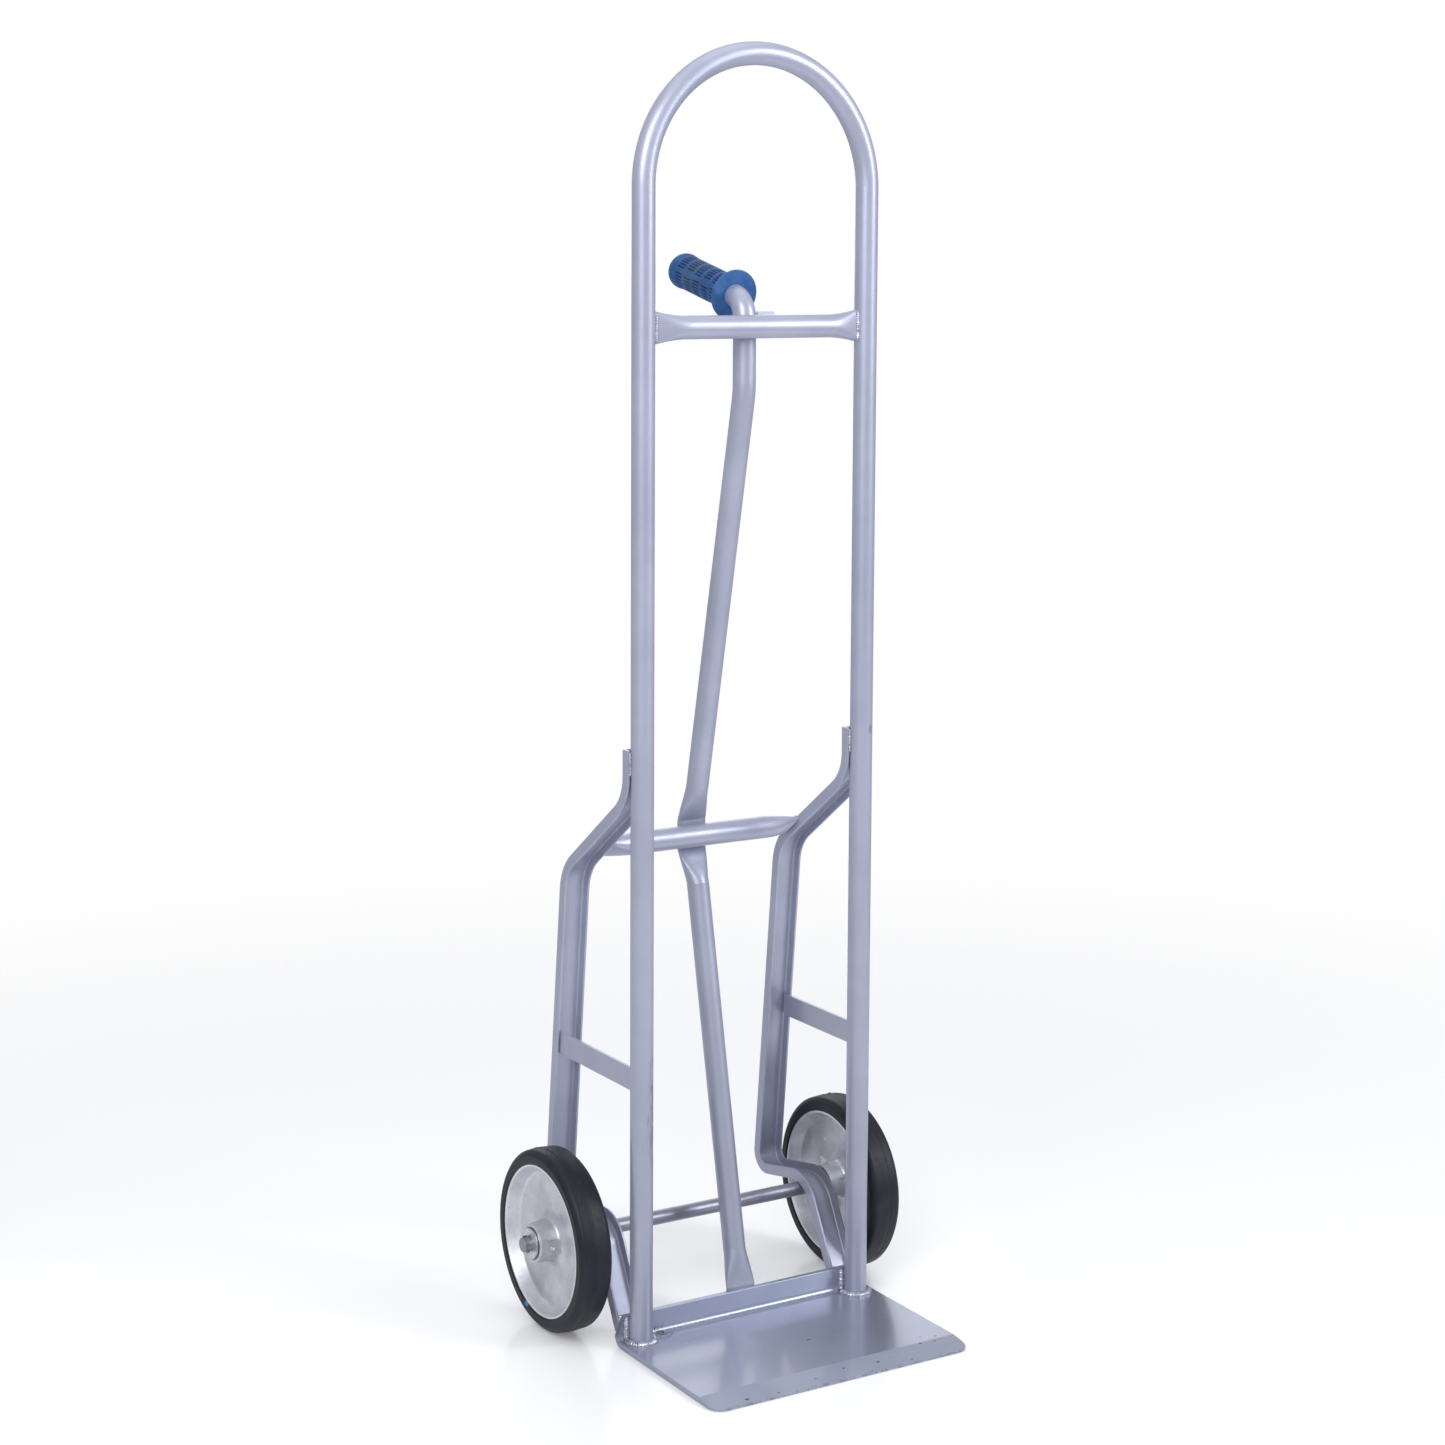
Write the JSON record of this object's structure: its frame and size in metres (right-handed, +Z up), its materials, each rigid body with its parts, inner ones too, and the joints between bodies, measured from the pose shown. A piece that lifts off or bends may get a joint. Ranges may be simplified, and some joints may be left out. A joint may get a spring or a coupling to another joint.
{
  "type": "hand truck",
  "caption": "Upright two-wheeled hand truck: bent tube loop on a nose plate, bent channel wheel brackets, centre strut with a gripped handle and rubber-tyred cast wheels.",
  "frame": {"origin": "on the floor, under the middle of the bounding box", "axes": "+Z up; -Y towards the front edge of the nose plate; +X to the right as seen from the front, along the axle"},
  "size_m": [0.474, 0.394, 1.4199],
  "materials": {
    "frame_paint": "gloss",
    "grip_plastic": "satin",
    "cast_aluminium": "satin",
    "tyre_rubber": "matte",
    "bearing_steel": "polished",
    "seal_plastic": "satin",
    "zinc_steel": "satin",
    "bare_steel": "satin",
    "axle_steel": "satin"
  },
  "bodies": {
    "frame": {"axle": "axle_steel", "axle_welds": "frame_paint", "centre_strut": "frame_paint", "channel_toe_welds": "frame_paint", "channel_top_welds": "frame_paint", "handle_grip": "grip_plastic", "handle_tab": "frame_paint", "left_bearing_inner_rings": "bearing_steel", "left_channel": "frame_paint", "left_cotter_pin": "bare_steel", "left_inner_washer": "zinc_steel", "left_outer_washer": "zinc_steel", "left_strap": "frame_paint", "leg_base_welds": "frame_paint", "mid_bar_welds": "frame_paint", "mid_crossbar": "frame_paint", "nose_plate": "frame_paint", "right_bearing_inner_rings": "bearing_steel", "right_channel": "frame_paint", "right_cotter_pin": "bare_steel", "right_inner_washer": "zinc_steel", "right_outer_washer": "zinc_steel", "right_strap": "frame_paint", "strap_welds": "frame_paint", "strut_welds": "frame_paint", "tube_loop": "frame_paint", "upper_bar_welds": "frame_paint", "upper_crossbar": "frame_paint"},
    "left_wheel": {"left_wheel_hub": "cast_aluminium", "left_tyre": "tyre_rubber", "left_bearing_outer_rings": "bearing_steel", "left_bearing_balls": "bearing_steel", "left_bearing_seals": "seal_plastic", "left_grease_fitting": "bare_steel"},
    "right_wheel": {"right_wheel_hub": "cast_aluminium", "right_tyre": "tyre_rubber", "right_bearing_outer_rings": "bearing_steel", "right_bearing_balls": "bearing_steel", "right_bearing_seals": "seal_plastic", "right_grease_fitting": "bare_steel"}
  },
  "joints": [
    {"name": "left_wheel_spin", "type": "hinge", "parent": "frame", "child": "left_wheel", "pos_m": [-0.19615, 0.09535, 0.1016], "axis": [1, 0, 0], "continuous": true},
    {"name": "right_wheel_spin", "type": "hinge", "parent": "frame", "child": "right_wheel", "pos_m": [0.18555, 0.09535, 0.1016], "axis": [1, 0, 0], "continuous": true}
  ]
}
